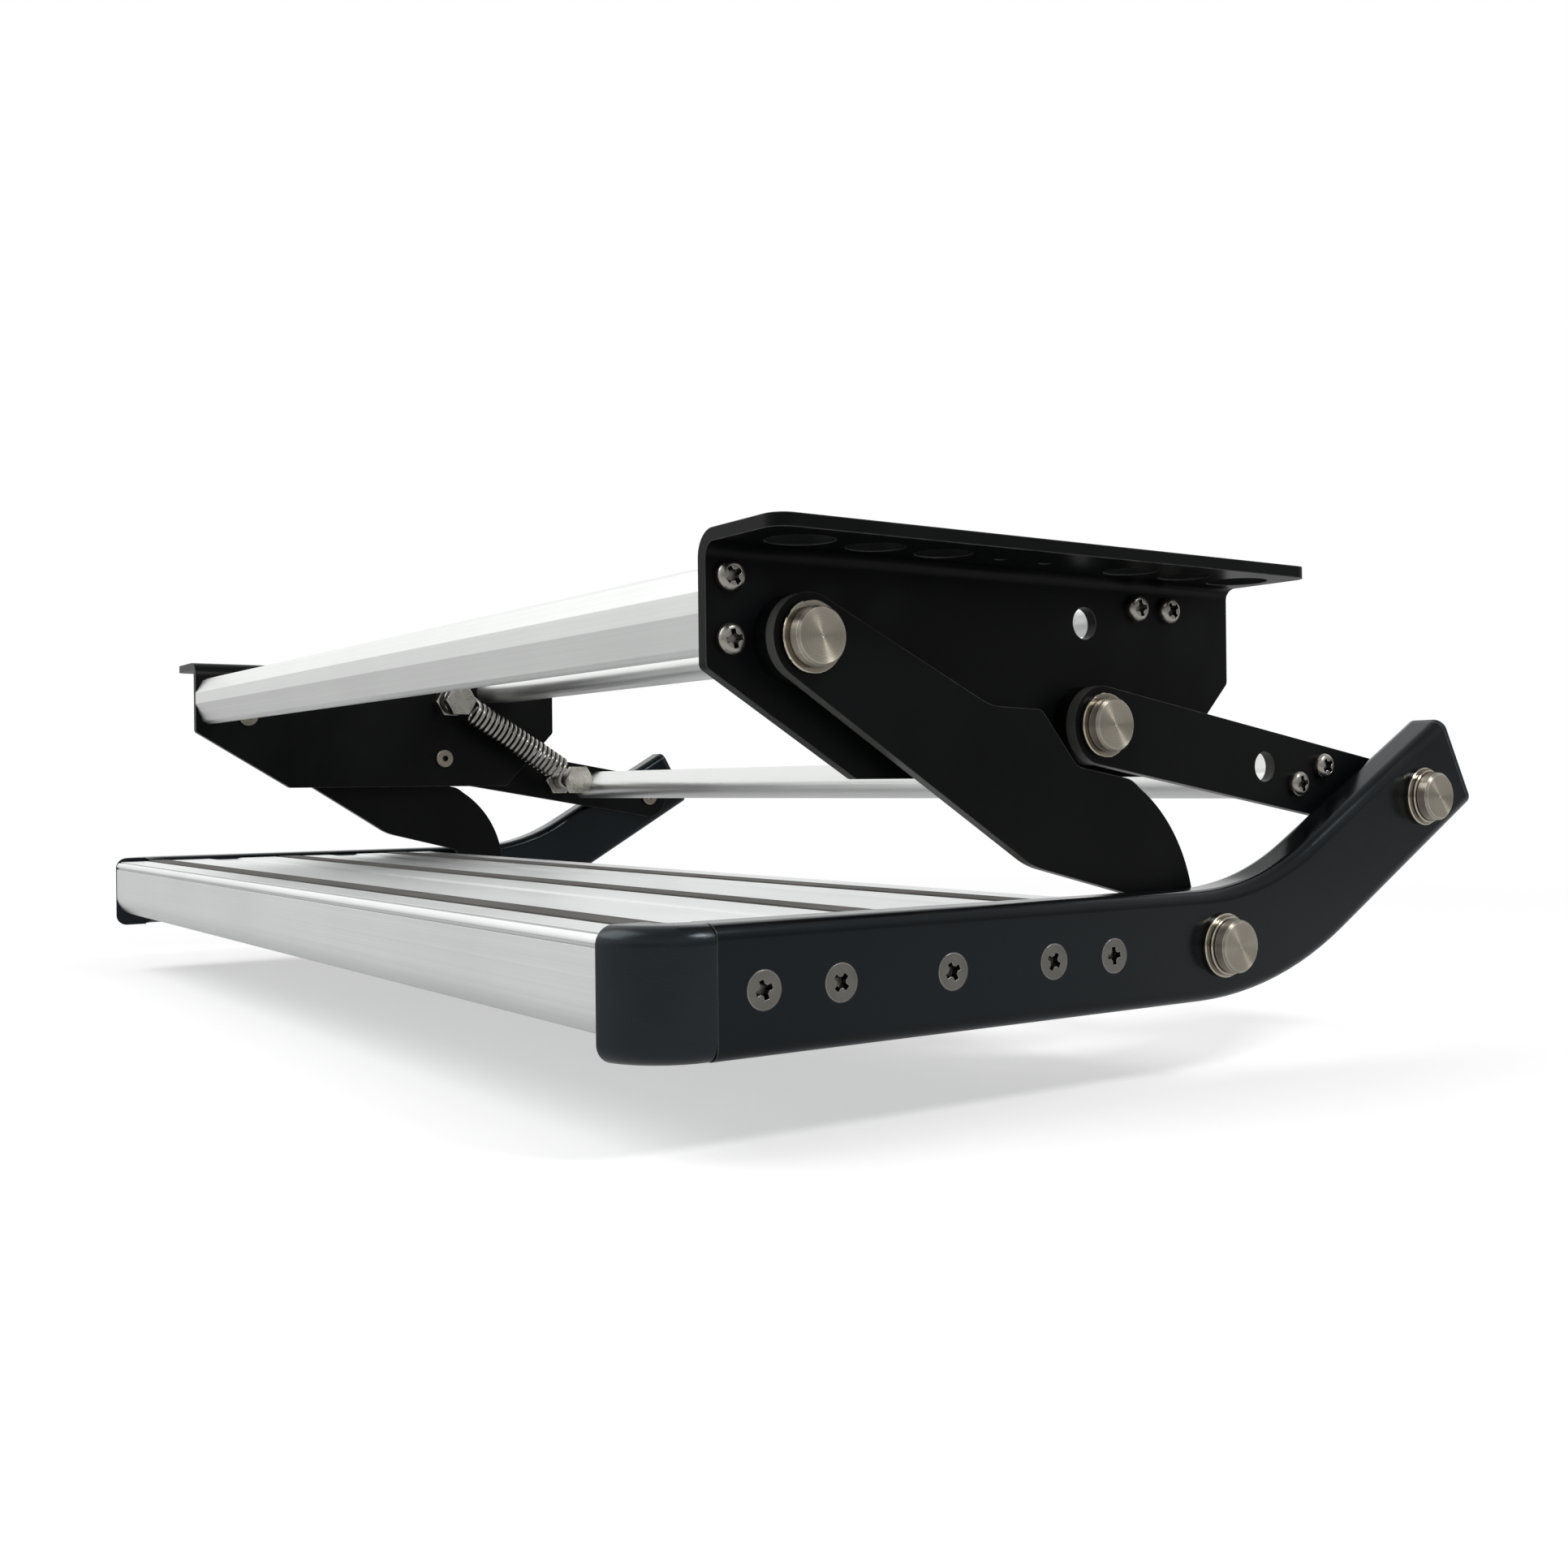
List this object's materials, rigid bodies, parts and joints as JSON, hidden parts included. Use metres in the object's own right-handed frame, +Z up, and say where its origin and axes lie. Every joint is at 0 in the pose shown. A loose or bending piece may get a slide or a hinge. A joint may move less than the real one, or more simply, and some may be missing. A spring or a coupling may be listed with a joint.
{
  "type": "camper entry step",
  "caption": "Fold-out entry step for a camper: two bolted-on brackets, two pairs of links, an over-centre spring and a ribbed tread, shown stowed.",
  "frame": {"origin": "midway between the two brackets, on the top face of their flanges, in the middle of the rows of fixing holes", "axes": "+X across the step to its right, +Y towards the vehicle, +Z up"},
  "size_m": [0.634, 0.3796, 0.15],
  "materials": {
    "black_plate": "satin black powder coat on steel",
    "black_spacer": "black coated steel",
    "silver_extrusion": "silver anodised, satin",
    "tread_extrusion": "silver anodised, fine lengthwise ribs",
    "grip_rubber": "matt dark grey",
    "black_plastic": "moulded, fine grain",
    "turned_steel": "turned and plated",
    "zinc_steel": "dull zinc plating",
    "spring_steel": "bright zinc plating"
  },
  "bodies": {
    "frame": {"right_bracket": "black_plate", "left_bracket": "black_plate", "right_front_pivot_spacer": "black_spacer", "left_front_pivot_spacer": "black_spacer", "right_rear_pivot_spacer": "black_spacer", "left_rear_pivot_spacer": "black_spacer", "front_cross_tube": "silver_extrusion", "rear_cross_bar": "silver_extrusion", "front_tube_screws": "zinc_steel", "rear_bar_screws": "zinc_steel", "front_pivot_pins": "turned_steel", "front_pivot_washers": "turned_steel", "front_pivot_screws": "turned_steel", "rear_pivot_pins": "turned_steel", "rear_pivot_washers": "turned_steel", "rear_pivot_screws": "turned_steel", "upper_spring_bolt": "zinc_steel", "upper_spring_nuts": "zinc_steel"},
    "front_links": {"right_front_link": "black_plate", "left_front_link": "black_plate", "tread_front_pivot_stubs": "turned_steel"},
    "rear_links": {"right_rear_link": "black_plate", "left_rear_link": "black_plate", "lower_cross_bar": "silver_extrusion", "lower_bar_screws": "zinc_steel", "lower_spring_bolt": "zinc_steel", "lower_spring_nuts": "zinc_steel"},
    "step": {"right_side_rail": "black_plate", "left_side_rail": "black_plate", "right_rail_end_cap": "black_plastic", "left_rail_end_cap": "black_plastic", "right_corner_piece": "black_plastic", "left_corner_piece": "black_plastic", "nosing": "tread_extrusion", "front_plank": "tread_extrusion", "front_plank_grip_strip": "grip_rubber", "middle_plank": "tread_extrusion", "middle_plank_grip_strip": "grip_rubber", "rear_plank": "tread_extrusion", "rear_plank_grip_strip": "grip_rubber", "plank_screws": "zinc_steel", "tread_front_pivot_pins": "turned_steel", "tread_front_pivot_washers": "turned_steel", "tread_rear_pivot_pins": "turned_steel", "tread_rear_pivot_washers": "turned_steel", "tread_rear_pivot_screws": "turned_steel"},
    "spring": {"tension_spring": "spring_steel"},
    "spring_lower_end": {"spring_lower_hook": "spring_steel"}
  },
  "joints": [
    {"name": "rear_link_swing", "type": "hinge", "parent": "frame", "child": "rear_links", "pos_m": [0, 0.035, -0.0555], "axis": [1, 0, 0], "range_deg": [-150.73, 0]},
    {"name": "tread_level", "type": "hinge", "parent": "rear_links", "child": "step", "pos_m": [0, 0.1885, -0.0815], "axis": [1, 0, 0], "range_deg": [0, 150.73]},
    {"name": "front_link_swing", "type": "hinge", "parent": "frame", "child": "front_links", "pos_m": [0, -0.0865, -0.031], "axis": [1, 0, 0], "range_deg": [-105.95, 0]},
    {"name": "spring_swing", "type": "hinge", "parent": "frame", "child": "spring", "pos_m": [0, 0.0373, -0.02], "axis": [1, 0, 0], "range_deg": [-110.62, 0]},
    {"name": "spring_stretch", "type": "slide", "parent": "spring", "child": "spring_lower_end", "axis": [0, 0.8532, -0.5216], "range_m": [0, 0.00888], "deforming": ["tension_spring", "spring_lower_hook"]}
  ],
  "couplings": [
    {"joint": "tread_level", "follows": "rear_link_swing", "ratio": -1},
    {"joint": "front_link_swing", "follows": "rear_link_swing", "ratio": 0.7029},
    {"joint": "spring_swing", "follows": "rear_link_swing", "ratio": 0.73387},
    {"joint": "spring_stretch", "follows": "rear_link_swing", "m_per_rad": -0.0033754}
  ]
}
